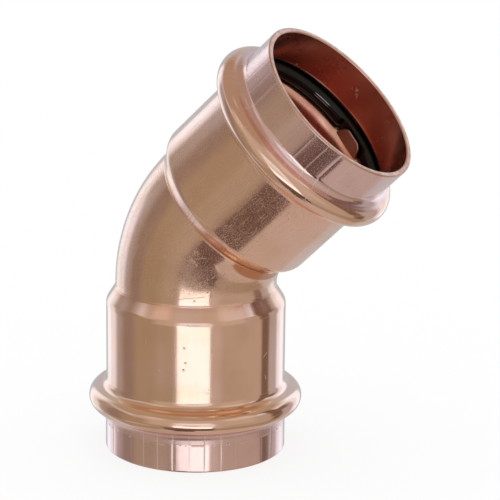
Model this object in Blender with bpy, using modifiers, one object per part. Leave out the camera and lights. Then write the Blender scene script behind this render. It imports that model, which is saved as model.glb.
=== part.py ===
"""A 45 degree press-fit elbow for 1 1/2 inch copper water pipe, with its two sealing rings.

The elbow is one piece of copper tube. Each end is opened out into a pipe socket with a rolled bead
near its mouth, and the bead's hollow inside holds a rubber O-ring. A short cone leads from each
socket down to the bent tube between them. The two ends are alike, so the copper is modelled as one
half, up to the plane that cuts the bend in two, and mirrored there. Beside each groove a small flat
of the wall is pressed in over the ring: it lifts the ring off the pipe there, so that a joint that
nobody has pressed yet leaks and is noticed.

The fitting stands on its lower mouth: +Z is up, and the upper mouth leans towards +X.
Lengths are in millimetres here and become metres where a mesh is made.
"""

import math

import bmesh
import bpy
from mathutils import Matrix, Vector

MM = 0.001

# Driving dimensions of the copper
SOCKET_BORE_RADIUS = 20.85
WALL = 1.4
LIP_FLARE = 0.2
SOCKET_DEPTH = 37.7
SHOULDER_LENGTH = 3.6
SHOULDER_STEP = 2.3
BEND_ANGLE = math.radians(45)
BEND_THROAT_RADIUS = 7.3
BEND_LEAD = 0.8

# The rolled bead, whose inside is the groove for the sealing ring
BEAD_SETBACK = 13.0
BEAD_HEIGHT = 4.3
BEAD_CROWN_RADIUS = 2.8
BEAD_FLANK_ANGLE = math.radians(14)
BEAD_FILLET_RADIUS = 2.0
BEAD_WALL = 0.9
GROOVE_FLANK_ANGLE = math.radians(20)

# Rounded edges
RIM_EDGE_RADIUS = 0.35
GROOVE_EDGE_RADIUS = 0.6
SHOULDER_EDGE_RADIUS = 1.8
SHOULDER_FOOT_RADIUS = 0.6

# The sealing ring
SEAL_PROTRUSION = 0.5
SEAL_CLEARANCE = 0.3

# The leak tab: its place round the bore is counted from the throat side of the bend
LEAK_TAB_PLACE = math.radians(74)
LEAK_TAB_BASE = 9.2
LEAK_TAB_TIP = 6.4
LEAK_TAB_REACH = 3.4
LEAK_TAB_ROOT = 0.9
LEAK_TAB_RISE = 0.2
LEAK_TAB_CHAMFER = 1.1

# Facets
STEPS_AROUND = 40
STEPS_IN_HALF_BEND = 5
STEPS_IN_EDGE = 2
STEPS_IN_CROWN = 6
SEAL_STEPS_ACROSS = 10
MERGE_DISTANCE = 0.01

# Derived sizes
LIP_RADIUS = SOCKET_BORE_RADIUS + LIP_FLARE + WALL
SOCKET_RADIUS = SOCKET_BORE_RADIUS + WALL
TUBE_RADIUS = SOCKET_RADIUS - SHOULDER_STEP
BEND_RADIUS = BEND_THROAT_RADIUS + TUBE_RADIUS
ARM_LENGTH = SOCKET_DEPTH + SHOULDER_LENGTH + BEND_LEAD
CROWN_CENTRE_RADIUS = SOCKET_RADIUS + BEAD_HEIGHT - BEAD_CROWN_RADIUS
GROOVE_CROWN_RADIUS = BEAD_CROWN_RADIUS - BEAD_WALL

COPPER_COLOUR = (0.72, 0.42, 0.31, 1.0)
RUBBER_COLOUR = (0.012, 0.013, 0.013, 1.0)


def round_corner(before, corner, after, radius, steps):
    """Points of the arc that touches both sides of a corner, or the corner itself if it is sharp."""
    to_before = (before - corner).normalized()
    to_after = (after - corner).normalized()
    half = to_before.angle(to_after) / 2
    if radius <= 0:
        return [corner]
    centre = corner + (to_before + to_after).normalized() * (radius / math.sin(half))
    start = corner + to_before * (radius / math.tan(half)) - centre
    end = corner + to_after * (radius / math.tan(half)) - centre
    sweep = -start.angle_signed(end)
    return [centre + Matrix.Rotation(sweep * i / steps, 2) @ start for i in range(steps + 1)]


def rounded_path(corners):
    """A path through (distance, radius, rounding, steps) corners, with each corner rounded."""
    places = [Vector(corner[:2]) for corner in corners]
    path = [places[0]]
    for i in range(1, len(corners) - 1):
        path += round_corner(places[i - 1], places[i], places[i + 1], *corners[i][2:])
    return path + [places[-1]]


def ridge_corners(radius_before, radius_after, crown_radius, flank_angle, edge_radius):
    """The ridge of a bead, or of the groove inside it: two straight flanks under a round crown."""
    peak = CROWN_CENTRE_RADIUS + crown_radius / math.sin(flank_angle)
    spread = math.tan(flank_angle)
    flank = (peak - max(radius_before, radius_after)) / math.cos(flank_angle)
    free = flank - crown_radius / math.tan(flank_angle)
    widest_edge = 0.98 * free / math.tan(math.pi / 4 - flank_angle / 2)
    edge = min(edge_radius, widest_edge)
    return [
        (BEAD_SETBACK - (peak - radius_before) * spread, radius_before, edge, STEPS_IN_EDGE),
        (BEAD_SETBACK, peak, crown_radius, STEPS_IN_CROWN),
        (BEAD_SETBACK + (peak - radius_after) * spread, radius_after, edge, STEPS_IN_EDGE),
    ]


def shoulder_corners(inset, edge_radius, foot_radius):
    """The cone from the socket down to the bent tube, on a surface that lies inset under the skin."""
    slope = math.atan2(SHOULDER_STEP, SHOULDER_LENGTH)
    shift = inset * math.tan(slope / 2)
    return [
        (SOCKET_DEPTH - shift, SOCKET_RADIUS - inset, edge_radius, STEPS_IN_EDGE),
        (SOCKET_DEPTH + SHOULDER_LENGTH - shift, TUBE_RADIUS - inset, foot_radius, STEPS_IN_EDGE),
    ]


def arm_profile():
    """The section of one arm as (distance from the mouth, radius), down the skin and up the bore."""
    bead = (BEAD_CROWN_RADIUS, BEAD_FLANK_ANGLE, BEAD_FILLET_RADIUS)
    groove = (GROOVE_CROWN_RADIUS, GROOVE_FLANK_ANGLE, GROOVE_EDGE_RADIUS)
    outside = [
        (0, LIP_RADIUS, RIM_EDGE_RADIUS, STEPS_IN_EDGE),
        *ridge_corners(LIP_RADIUS, SOCKET_RADIUS, *bead),
        *shoulder_corners(0, SHOULDER_EDGE_RADIUS, SHOULDER_FOOT_RADIUS),
        (ARM_LENGTH, TUBE_RADIUS, 0, 1),
    ]
    inside = [
        (0, LIP_RADIUS - WALL, RIM_EDGE_RADIUS, STEPS_IN_EDGE),
        *ridge_corners(LIP_RADIUS - WALL, SOCKET_BORE_RADIUS, *groove),
        *shoulder_corners(WALL, SHOULDER_EDGE_RADIUS - WALL, SHOULDER_FOOT_RADIUS + WALL),
        (ARM_LENGTH, TUBE_RADIUS - WALL, 0, 1),
    ]
    return rounded_path(outside[::-1] + inside)


def seal_section():
    """The sealing ring's (ring radius, section radius): it fills the groove up to its clearance."""
    lean = math.sin(GROOVE_FLANK_ANGLE)
    peak = CROWN_CENTRE_RADIUS + GROOVE_CROWN_RADIUS / lean
    inner_radius = SOCKET_BORE_RADIUS - SEAL_PROTRUSION
    between_flanks = ((peak - inner_radius) * lean - SEAL_CLEARANCE) / (1 + lean)
    groove_bottom = CROWN_CENTRE_RADIUS + GROOVE_CROWN_RADIUS
    under_crown = (groove_bottom - SEAL_CLEARANCE - inner_radius) / 2
    section_radius = min(between_flanks, under_crown)
    return inner_radius + section_radius, section_radius


def upper_arm_point(distance_from_mouth):
    """A point on the upper arm's centre line, as (x, z) from the middle of the lower mouth."""
    along = ARM_LENGTH - distance_from_mouth
    x = BEND_RADIUS * (1 - math.cos(BEND_ANGLE)) + along * math.sin(BEND_ANGLE)
    z = ARM_LENGTH + BEND_RADIUS * math.sin(BEND_ANGLE) + along * math.cos(BEND_ANGLE)
    return x, z


def middle_of_plan(profile):
    """The X that lies midway between the fitting's two ends, from the middle of the lower mouth."""
    low = -max(point[1] for point in profile)
    high = max(
        upper_arm_point(distance)[0] + radius * math.cos(BEND_ANGLE)
        for distance, radius in profile
    )
    return (low + high) / 2


def leak_tab_box(spare):
    """The tab's (low, high) corners in its arm's frame: X out from the axis, Z in from the mouth."""
    peak = CROWN_CENTRE_RADIUS + GROOVE_CROWN_RADIUS / math.sin(GROOVE_FLANK_ANGLE)
    groove_edge = BEAD_SETBACK + (peak - SOCKET_BORE_RADIUS) * math.tan(GROOVE_FLANK_ANGLE)
    inner_face = SOCKET_BORE_RADIUS - LEAK_TAB_RISE
    half_base = LEAK_TAB_BASE / 2 + spare
    low = Vector((inner_face, -half_base, groove_edge - LEAK_TAB_REACH - spare))
    high = Vector((inner_face + BEAD_WALL + spare, half_base, groove_edge + LEAK_TAB_ROOT))
    return low, high


def clear_scene():
    """Removes what the scene holds, so that the model starts from nothing."""
    for old in list(bpy.data.objects):
        bpy.data.objects.remove(old, do_unlink=True)


def make_material(name, colour, metallic, roughness):
    """A Principled material with one colour."""
    material = bpy.data.materials.new(name)
    material.use_nodes = True
    shader = material.node_tree.nodes["Principled BSDF"]
    shader.inputs["Base Color"].default_value = colour
    shader.inputs["Metallic"].default_value = metallic
    shader.inputs["Roughness"].default_value = roughness
    material.diffuse_color = colour
    return material


def make_empty(name, collection, location, lean, parent):
    """An empty that carries pieces or marks a plane, leaning about Y."""
    empty = bpy.data.objects.new(name, None)
    empty.location = location
    empty.rotation_euler = (0, lean, 0)
    empty.parent = parent
    collection.objects.link(empty)
    return empty


def half_elbow_mesh(profile):
    """One arm turned about its own axis, with half the bend swept on from its open end."""
    shape = bmesh.new()
    points = [shape.verts.new((radius * MM, 0, distance * MM)) for distance, radius in profile]
    chain = [shape.edges.new(pair) for pair in zip(points, points[1:])]
    bmesh.ops.spin(
        shape,
        geom=points + chain,
        cent=(0, 0, 0),
        axis=(0, 0, 1),
        angle=2 * math.pi,
        steps=STEPS_AROUND,
        use_merge=True,
    )
    open_edges = [edge for edge in shape.edges if edge.is_boundary]
    open_points = list({point for edge in open_edges for point in edge.verts})
    bmesh.ops.spin(
        shape,
        geom=open_points + open_edges,
        cent=(BEND_RADIUS * MM, 0, ARM_LENGTH * MM),
        axis=(0, 1, 0),
        angle=BEND_ANGLE / 2,
        steps=STEPS_IN_HALF_BEND,
    )
    mesh = bpy.data.meshes.new("elbow_body")
    shape.to_mesh(mesh)
    shape.free()
    return mesh


def leak_tab_mesh(name, spare, inner_face):
    """A plate that narrows towards the mouth, with chamfered tip corners and a ramp at its root."""
    low, high = leak_tab_box(spare)
    low.x = inner_face
    size = (high - low) * MM
    centre = (high + low) / 2 * MM
    shape = bmesh.new()
    bmesh.ops.create_cube(shape, size=1)
    bmesh.ops.scale(shape, vec=size, verts=shape.verts)
    tip = [point for point in shape.verts if point.co.z < 0]
    narrowing = (LEAK_TAB_TIP / 2 + spare) / high.y
    bmesh.ops.scale(shape, vec=(1, narrowing, 1), verts=tip)
    corners = [edge for edge in shape.edges if all(point in tip for point in edge.verts)]
    corners = [edge for edge in corners if abs(edge.verts[0].co.x - edge.verts[1].co.x) > size.x / 2]
    bmesh.ops.bevel(shape, geom=corners, offset=LEAK_TAB_CHAMFER * MM, affect="EDGES", segments=1)
    root_edge = [
        edge
        for edge in shape.edges
        if all(point.co.z > size.z * 0.49 and point.co.x < -size.x * 0.49 for point in edge.verts)
    ]
    bmesh.ops.bevel(shape, geom=root_edge, offset=BEAD_WALL / 2 * MM, affect="EDGES", segments=1)
    bmesh.ops.translate(shape, vec=centre, verts=shape.verts)
    mesh = bpy.data.meshes.new(name)
    shape.to_mesh(mesh)
    shape.free()
    return mesh


def add_guide_solid(mesh, helpers, mouth, turn):
    """A solid that only shapes its neighbours, standing round the bore from its mouth's X."""
    guide = bpy.data.objects.new(mesh.name, mesh)
    guide.parent = mouth
    guide.rotation_euler = (0, 0, turn)
    guide.hide_render = True
    guide.display_type = "WIRE"
    helpers.objects.link(guide)
    return guide


def add_boolean(body, guide, operation):
    """Joins a guide solid to a piece, or cuts it out."""
    boolean = body.modifiers.new(guide.name, "BOOLEAN")
    boolean.object = guide
    boolean.operation = operation
    boolean.solver = "EXACT"


def add_elbow_body(collection, helpers, root, profile):
    """The copper: one half, mirrored at the plane through the middle of the bend."""
    mesh = half_elbow_mesh(profile)
    mesh.materials.append(make_material("copper", COPPER_COLOUR, 1.0, 0.2))
    mesh.shade_smooth()
    mesh.set_sharp_from_angle(angle=math.radians(40))
    body = bpy.data.objects.new("elbow_body", mesh)
    body.parent = root
    collection.objects.link(body)
    bend_centre = (BEND_RADIUS * MM, 0, ARM_LENGTH * MM)
    bend_plane = make_empty("bend_plane", helpers, bend_centre, BEND_ANGLE / 2, root)
    bend_plane.hide_render = True
    mirror = body.modifiers.new("other_half", "MIRROR")
    mirror.mirror_object = bend_plane
    mirror.use_axis = (False, False, True)
    mirror.use_mirror_merge = True
    mirror.merge_threshold = MERGE_DISTANCE * MM
    return body


def add_seal_ring(name, collection, mouth):
    """An O-ring, lying in the hollow of one bead."""
    ring_radius, section_radius = seal_section()
    bpy.ops.mesh.primitive_torus_add(
        major_radius=ring_radius * MM,
        minor_radius=section_radius * MM,
        major_segments=STEPS_AROUND,
        minor_segments=SEAL_STEPS_ACROSS,
    )
    ring = bpy.context.object
    ring.name = name
    ring.data.name = name
    ring.parent = mouth
    ring.location = (0, 0, BEAD_SETBACK * MM)
    ring.data.materials.append(make_material(name, RUBBER_COLOUR, 0.0, 0.3))
    ring.data.shade_smooth()
    for owner in list(ring.users_collection):
        owner.objects.unlink(ring)
    collection.objects.link(ring)
    return ring


def add_leak_tab(name, helpers, mouth, turn, body, ring):
    """Grows a leak tab from the wall beside a groove, and relieves the sealing ring behind it."""
    low, _ = leak_tab_box(0)
    tab = add_guide_solid(leak_tab_mesh(name, 0, low.x), helpers, mouth, turn)
    add_boolean(body, tab, "UNION")
    under_ring = SOCKET_BORE_RADIUS - SEAL_PROTRUSION - LEAK_TAB_BASE / 4
    relief_mesh = leak_tab_mesh(name + "_relief", SEAL_CLEARANCE, under_ring)
    add_boolean(ring, add_guide_solid(relief_mesh, helpers, mouth, turn), "DIFFERENCE")


def main():
    """Builds the fitting in its own collection, standing on its lower mouth."""
    clear_scene()
    collection = bpy.data.collections.new("press_fit_elbow")
    helpers = bpy.data.collections.new("guides")
    bpy.context.scene.collection.children.link(collection)
    bpy.context.scene.collection.children.link(helpers)
    helpers.hide_render = True
    profile = arm_profile()
    origin = (-middle_of_plan(profile) * MM, 0, 0)
    root = make_empty("press_fit_elbow_origin", collection, origin, 0, None)
    body = add_elbow_body(collection, helpers, root, profile)
    upper_x, upper_z = upper_arm_point(0)
    upper_place = (upper_x * MM, 0, upper_z * MM)
    lower_mouth = make_empty("lower_mouth", helpers, (0, 0, 0), 0, root)
    upper_mouth = make_empty("upper_mouth", helpers, upper_place, math.pi + BEND_ANGLE, root)
    lower_ring = add_seal_ring("seal_ring_lower", collection, lower_mouth)
    upper_ring = add_seal_ring("seal_ring_upper", collection, upper_mouth)
    add_leak_tab("leak_tab_lower", helpers, lower_mouth, LEAK_TAB_PLACE, body, lower_ring)
    add_leak_tab("leak_tab_upper", helpers, upper_mouth, math.pi - LEAK_TAB_PLACE, body, upper_ring)


if __name__ == "__main__":
    main()
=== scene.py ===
"""Studio scene of a 45 degree press-fit copper elbow with its two sealing rings.

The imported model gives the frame: the fitting stands on its lower mouth, +Z is up, and the upper
socket leans towards +X. The copper is rebuilt here as one fine mesh, with the marks of its making,
and the rings as smooth rubber. Lengths are millimetres until a mesh is made from them.
"""

from __future__ import annotations

import logging
import math
from dataclasses import dataclass
from enum import Enum
from typing import NamedTuple, Union

import bmesh
import bpy
import numpy as np
from mathutils import Matrix, Vector

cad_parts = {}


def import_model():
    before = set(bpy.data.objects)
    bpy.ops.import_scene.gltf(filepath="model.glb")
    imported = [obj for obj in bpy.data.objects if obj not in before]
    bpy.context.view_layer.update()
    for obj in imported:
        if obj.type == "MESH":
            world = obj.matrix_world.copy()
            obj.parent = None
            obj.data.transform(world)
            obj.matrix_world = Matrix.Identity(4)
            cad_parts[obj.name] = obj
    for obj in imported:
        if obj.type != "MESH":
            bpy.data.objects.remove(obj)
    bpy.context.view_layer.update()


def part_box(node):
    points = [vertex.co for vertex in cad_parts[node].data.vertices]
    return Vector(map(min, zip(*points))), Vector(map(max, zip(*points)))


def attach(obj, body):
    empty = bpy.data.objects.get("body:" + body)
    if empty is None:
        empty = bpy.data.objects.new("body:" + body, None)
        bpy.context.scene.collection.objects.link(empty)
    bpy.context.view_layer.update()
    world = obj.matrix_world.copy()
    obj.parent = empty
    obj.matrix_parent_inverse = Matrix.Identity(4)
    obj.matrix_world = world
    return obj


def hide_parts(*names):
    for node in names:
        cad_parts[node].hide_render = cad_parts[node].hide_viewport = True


LOG = logging.getLogger("press_fit_elbow")
FULL_TURN = 2 * math.pi
# One millimetre in metres
MM = 0.001
# Two lengths that are this near, in millimetres, count as the same
CLOSE = 0.01
# What the copper's mesh tells its finishes, besides the place on the straightened tube
MEASURES = ("from_mouth", "tool_mark", "painted_glow", "painted_shade")
# A socket or a plain value for a node's input, and a section's points as (distance, radius)
Socket = bpy.types.NodeSocket
Value = Union[Socket, float, tuple]
Line = list[tuple[float, float]]


class Arm(Enum):
    """The two ends of the fitting, each with its own mouth."""

    LOWER = "lower"
    UPPER = "upper"


class Side(Enum):
    """The skin of the tube, or the bore inside it."""

    SKIN = "skin"
    BORE = "bore"


class Zone(Enum):
    """The finishes of the copper, numbered as its material slots."""

    SKIN = 0
    LIP = 1
    RIM = 2
    BORE = 3


@dataclass(frozen=True)
class ElbowSizes:
    """The fitting's sizes in millimetres.

    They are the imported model's, but for the roundings of the shoulder and of the groove's edges,
    and for the leak tab's face: those follow the photograph more finely here.
    """

    bore_radius: float = 20.85
    wall: float = 1.4
    lip_flare: float = 0.2
    socket_depth: float = 37.7
    shoulder_length: float = 3.6
    shoulder_step: float = 2.3
    bend_angle: float = math.radians(45)
    bend_throat_radius: float = 7.3
    bend_lead: float = 0.8
    bead_setback: float = 13.0
    bead_height: float = 4.3
    bead_crown: float = 2.8
    bead_flank: float = math.radians(14)
    bead_fillet: float = 2.0
    bead_wall: float = 0.9
    groove_flank: float = math.radians(20)
    rim_edge: float = 0.35
    groove_edge: float = 1.3
    groove_inner_edge: float = 4.6
    shoulder_edge: float = 2.8
    shoulder_foot: float = 1.3
    seal_protrusion: float = 0.5
    seal_clearance: float = 0.3
    tab_place: float = math.radians(74)
    tab_base: float = 9.2
    tab_tip: float = 6.4
    tab_reach: float = 3.4
    tab_root: float = 0.5
    tab_rise: float = 0.2
    tab_sink: float = 0.95
    tab_wall: float = 0.7
    tab_chamfer: float = 1.1

    @property
    def lip_radius(self) -> float:
        """The lip's outer radius."""
        return self.bore_radius + self.lip_flare + self.wall

    @property
    def socket_radius(self) -> float:
        """The socket's outer radius."""
        return self.bore_radius + self.wall

    @property
    def tube_radius(self) -> float:
        """The bent tube's outer radius."""
        return self.socket_radius - self.shoulder_step

    @property
    def bend_radius(self) -> float:
        """The radius of the bend's centre line."""
        return self.bend_throat_radius + self.tube_radius

    @property
    def foot(self) -> float:
        """From a mouth to the shoulder's foot, where the bent tube begins."""
        return self.socket_depth + self.shoulder_length

    @property
    def arm_length(self) -> float:
        """From a mouth to where the bend begins."""
        return self.foot + self.bend_lead

    @property
    def crown_centre(self) -> float:
        """The radius at which the bead's crown arc is centred."""
        return self.socket_radius + self.bead_height - self.bead_crown

    @property
    def groove_crown(self) -> float:
        """The radius of the groove's own crown arc."""
        return self.bead_crown - self.bead_wall

    @property
    def groove_peak(self) -> float:
        """The radius at which the groove's two flanks would meet."""
        return self.crown_centre + self.groove_crown / math.sin(self.groove_flank)

    @property
    def tab_end(self) -> float:
        """How far the leak tab's tip is from the mouth."""
        groove_half = (self.groove_peak - self.bore_radius) * math.tan(self.groove_flank)
        return self.bead_setback + groove_half - self.tab_reach

    def tab_radius(self, distance: float) -> float:
        """The radius of the leak tab's face, which sinks from its tip to its root."""
        share = (distance - self.tab_end) / (self.tab_reach + self.tab_root)
        return self.bore_radius - self.tab_rise + self.tab_sink * share

    def centre_line(self, arm: Arm, distance: float) -> tuple[float, float, float]:
        """Where the tube's centre line runs.

        Args:
            arm: the end that the distance is counted from.
            distance: millimetres in from that mouth, up to the middle of the bend.

        Returns:
            The turn of the tube in radians, and the centre's x and z from the lower mouth's middle.
        """
        past = max(0.0, distance - self.arm_length)
        turn = past / self.bend_radius
        if arm is Arm.UPPER:
            turn = self.bend_angle - turn
        x = self.bend_radius * (1 - math.cos(turn))
        z = self.arm_length + self.bend_radius * math.sin(turn)
        straight = max(0.0, self.arm_length - distance)
        if arm is Arm.LOWER:
            return turn, x, z - straight
        return turn, x + straight * math.sin(turn), z + straight * math.cos(turn)

    def on_arm(self, arm: Arm, distance: float, out: float, wide: float) -> tuple[float, float, float]:
        """A place beside an arm's straight axis; each measure can be an array too.

        Args:
            arm: the arm.
            distance: millimetres in from its mouth, along the axis.
            out: millimetres from the axis, towards the throat's side.
            wide: millimetres from the axis, along Y.

        Returns:
            The place's x, y and z from the lower mouth's middle.
        """
        turn, x, z = self.centre_line(arm, 0.0)
        inwards = distance if arm is Arm.LOWER else -distance
        x = x + inwards * math.sin(turn) + out * math.cos(turn)
        z = z + inwards * math.cos(turn) - out * math.sin(turn)
        return x, wide, z


@dataclass(frozen=True)
class Corner:
    """A corner of a turned section: its distance from the mouth, its radius and its rounding."""

    distance: float
    radius: float
    rounding: float = 0.0
    steps: int = 1


def ramp(value: float | np.ndarray, start: float, end: float) -> np.ndarray:
    """How far a value has gone from a start to an end, from 0 to 1."""
    return np.clip((value - start) / (end - start), 0, 1)


def apart(angles: np.ndarray, other: float) -> np.ndarray:
    """How far angles are from another one, the shorter way round, in radians."""
    return np.abs((angles - other + math.pi) % FULL_TURN - math.pi)


def add_piece(mesh: bpy.types.Mesh, solid: str | None = None) -> bpy.types.Object:
    """Adds a mesh as a piece that rides with the fitting.

    Args:
        mesh: the mesh, which gives the piece its name.
        solid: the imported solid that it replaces, if there is one.

    Returns:
        The piece.
    """
    piece = bpy.data.objects.new(mesh.name, mesh)
    bpy.context.scene.collection.objects.link(piece)
    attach(piece, "root")
    if solid:
        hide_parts(solid)
    return piece


def rounded_section(corners: list[Corner]) -> Line:
    """A section line with each inner corner rounded.

    Args:
        corners: the corners in order; the first and last stay sharp.

    Returns:
        The line's points as (distance, radius).
    """
    places = [Vector((corner.distance, corner.radius)) for corner in corners]
    line = [tuple(places[0])]
    for i in range(1, len(corners) - 1):
        corner = corners[i]
        if corner.rounding <= 0:
            line.append(tuple(places[i]))
            continue
        back = (places[i - 1] - places[i]).normalized()
        ahead = (places[i + 1] - places[i]).normalized()
        half = back.angle(ahead) / 2
        centre = places[i] + (back + ahead).normalized() * (corner.rounding / math.sin(half))
        start = places[i] + back * (corner.rounding / math.tan(half)) - centre
        end = places[i] + ahead * (corner.rounding / math.tan(half)) - centre
        sweep = -start.angle_signed(end)
        for k in range(corner.steps + 1):
            turned = Matrix.Rotation(sweep * k / corner.steps, 2) @ start
            line.append(tuple(centre + turned))
    line.append(tuple(places[-1]))
    return line


def spread(line: Line, longest: float, guard: float) -> Line:
    """Splits a section line's long steps, with a short guard step at each end of a long one.

    A step is long if it is more than eight guard steps.

    Args:
        line: the line's points as (distance, radius).
        longest: the longest step to keep, in millimetres.
        guard: the length of the guard steps, which keep the shading of a rounded edge to itself.

    Returns:
        The line with the points added.
    """
    out = [line[0]]
    for a, b in zip(line, line[1:]):
        length = math.dist(a, b)
        if length > 8 * guard:
            shares = [guard / length]
            inner = max(1, math.ceil((length - 2 * guard) / longest))
            shares += [(guard + (length - 2 * guard) * k / inner) / length for k in range(1, inner + 1)]
            out += [(a[0] + (b[0] - a[0]) * t, a[1] + (b[1] - a[1]) * t) for t in shares]
        out.append(b)
    return out


class Ring(NamedTuple):
    """One ring of the tube's wall: where it lies, and on which side and arm."""

    turn: float
    centre_x: float
    centre_z: float
    radius: float
    distance: float
    bore: float
    upper: float


@dataclass
class CopperElbow:
    """The copper: one tube, from the lower rim round the bend to the upper rim and back inside.

    Its skin has what the forming left on it: the tool's lines round each lip, a narrow flat beside
    the upper lip's strongest line, a crease at each shoulder's foot and a faint ripple all over.
    The mesh says where golden reflection and shade are painted on it, and the finish colours them.

    Lengths are millimetres and angles radians, but for the open columns, which are degrees past a
    tool line. A pair whose name ends in start, end or fade says where a share is 0 and where it is
    1. The line strengths are in order from the first line, round and round the lip. A ripple is its
    strength, its waves round the tube, its phase for each millimetre along it and its first phase.
    """

    sizes: ElbowSizes
    axis_x: float
    steps_round: int = 180
    longest_step: float = 2.0
    guard: float = 0.12
    bend_rings: int = 26
    rim_steps: int = 5
    ridge_steps: tuple[int, int, int] = (6, 14, 10)
    ridge_most: float = 0.98
    shoulder_steps: int = 5
    skin_foot_steps: int = 12
    bore_foot_steps: int = 4

    rim_share: float = 0.8
    lip_end: float = 10.3
    tool_lines: int = 36
    tool_line_depth: float = 0.05
    tool_line_half: float = math.radians(0.8)
    tool_line_shift: float = math.radians(2.2)
    tool_line_columns: tuple[float, ...] = (-1, -0.67, -0.33, 0, 0.33, 0.67, 1)
    open_columns: tuple[float, ...] = (2.5, 5.0, 7.5)
    tool_line_start: tuple[float, float] = (0.25, 0.75)
    tool_line_end: tuple[float, float] = (9.2, 7.7)
    first_line: int = -14
    lower_line_strengths: tuple[float, ...] = (
        *(0.2, 0.9, 0.15, 0.3, 0.85, 0.85, 1.0, 0.6, 0.9),
        *(0.85, 0.35, 0.1, 0.15, 0.8, 0.1, 0.6, 0.3, 0.5),
    )
    upper_line_strengths: tuple[float, ...] = (
        *(0.3, 0.5, 0.85, 0.3, 0.15, 0.3, 0.6, 0.85, 1.0),
        *(0.7, 0.05, 0.05, 0.05, 0.1, 0.1, 0.3, 0.4, 0.2),
    )
    flat_depth: float = 0.1
    flat_from: float = math.radians(-57.801)
    flat_width: float = math.radians(3.6)
    crease_height: float = 0.06
    crease_half: float = 0.25

    ripple: float = 0.004
    bore_ripple: float = 0.5
    ripple_offset: float = 110.0
    ripples: tuple[tuple[float, float, float, float], ...] = (
        (1.0, 3, 0.21, 0.0),
        (0.8, 5, -0.37, 1.1),
        (0.5, 11, 0.55, 2.0),
    )

    # Painted golden reflection: beside the bead's socket side towards the front, and on the upper throat's
    # cone
    rolled: float = 0.65
    bead_glow_place: float = 15.7
    bead_glow_half: float = 1.1
    bead_glow_front: float = math.radians(-65)
    bead_glow_fade: tuple[float, float] = (math.radians(66), math.radians(42))
    throat_fade: tuple[float, float] = (math.radians(66), math.radians(54))
    throat_start: tuple[float, float] = (37.0, 38.5)
    throat_end: tuple[float, float] = (42.2, 41.3)

    # Painted shade, brown: in the upper throat past the foot, and a line in the inner corner before each
    # shoulder's foot
    throat_shade_length: float = 7.4
    throat_shade_half: float = math.radians(50)
    throat_shade_start: float = 0.3
    throat_shade_soft: float = 0.7
    crease_shade_place: float = 0.4
    crease_shade_half: float = 0.35
    lower_crease_shade: float = 0.25
    upper_crease_shade: float = 0.9

    def ridge(self, before: float, after: float, side: Side) -> list[Corner]:
        """The bead on the skin, or the groove in the bore.

        Its roundings are made smaller where they would meet on a flank.

        Args:
            before: the radius on the mouth's side.
            after: the radius on the socket's side.
            side: the skin or the bore.

        Returns:
            The three corners, with their roundings.
        """
        s = self.sizes
        bore = side is Side.BORE
        crown = s.groove_crown if bore else s.bead_crown
        flank = s.groove_flank if bore else s.bead_flank
        edge = s.groove_edge if bore else s.bead_fillet
        inner_edge = s.groove_inner_edge if bore else s.bead_fillet
        peak = s.crown_centre + crown / math.sin(flank)
        free = (peak - max(before, after)) / math.cos(flank) - crown / math.tan(flank)
        most = self.ridge_most * free / math.tan(math.pi / 4 - flank / 2)
        lean = math.tan(flank)
        outer_steps, crown_steps, inner_steps = self.ridge_steps
        return [
            Corner(s.bead_setback - (peak - before) * lean, before, min(edge, most), outer_steps),
            Corner(s.bead_setback, peak, crown, crown_steps),
            Corner(s.bead_setback + (peak - after) * lean, after, min(inner_edge, most), inner_steps),
        ]

    def shoulder(self, inset: float) -> list[Corner]:
        """The cone from the socket down to the bent tube.

        Args:
            inset: how deep the surface lies under the skin.

        Returns:
            The cone's two corners, with their roundings.
        """
        s = self.sizes
        shift = inset * math.tan(math.atan2(s.shoulder_step, s.shoulder_length) / 2)
        foot_steps = self.bore_foot_steps if inset else self.skin_foot_steps
        edge = s.shoulder_edge - inset
        return [
            Corner(s.socket_depth - shift, s.socket_radius - inset, edge, self.shoulder_steps),
            Corner(s.foot - shift, s.tube_radius - inset, s.shoulder_foot + inset, foot_steps),
        ]

    def inward(self, side: Side) -> Line:
        """One side's section, from the middle of an arm's rim to the middle of the bend.

        Args:
            side: the skin or the bore.

        Returns:
            The points as (distance from the mouth, radius).
        """
        s = self.sizes
        inset = s.wall if side is Side.BORE else 0
        lip = s.lip_radius - inset
        corners = [
            Corner(0, s.lip_radius - s.wall / 2),
            Corner(0, lip, s.rim_edge, self.rim_steps),
            *self.ridge(lip, s.socket_radius - inset, side),
            *self.shoulder(inset),
            Corner(s.arm_length, s.tube_radius - inset),
        ]
        arm = spread(rounded_section(corners), self.longest_step, self.guard)
        half_bend = s.bend_radius * s.bend_angle / 2
        steps = range(1, self.bend_rings + 1)
        return arm + [(s.arm_length + half_bend * k / self.bend_rings, arm[-1][1]) for k in steps]

    def rings(self) -> list[Ring]:
        """Every ring of the closed wall.

        Returns:
            The rings in order, up the skin to the upper rim and down the bore.
        """
        skin, bore = self.inward(Side.SKIN), self.inward(Side.BORE)
        stretches = (
            (Side.SKIN, Arm.LOWER, skin),
            (Side.SKIN, Arm.UPPER, skin[-2::-1]),
            (Side.BORE, Arm.UPPER, bore[1:]),
            (Side.BORE, Arm.LOWER, bore[-2:0:-1]),
        )
        return [
            Ring(
                *self.sizes.centre_line(arm, distance),
                radius,
                distance,
                float(side is Side.BORE),
                float(arm is Arm.UPPER),
            )
            for side, arm, line in stretches
            for distance, radius in line
        ]

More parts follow.
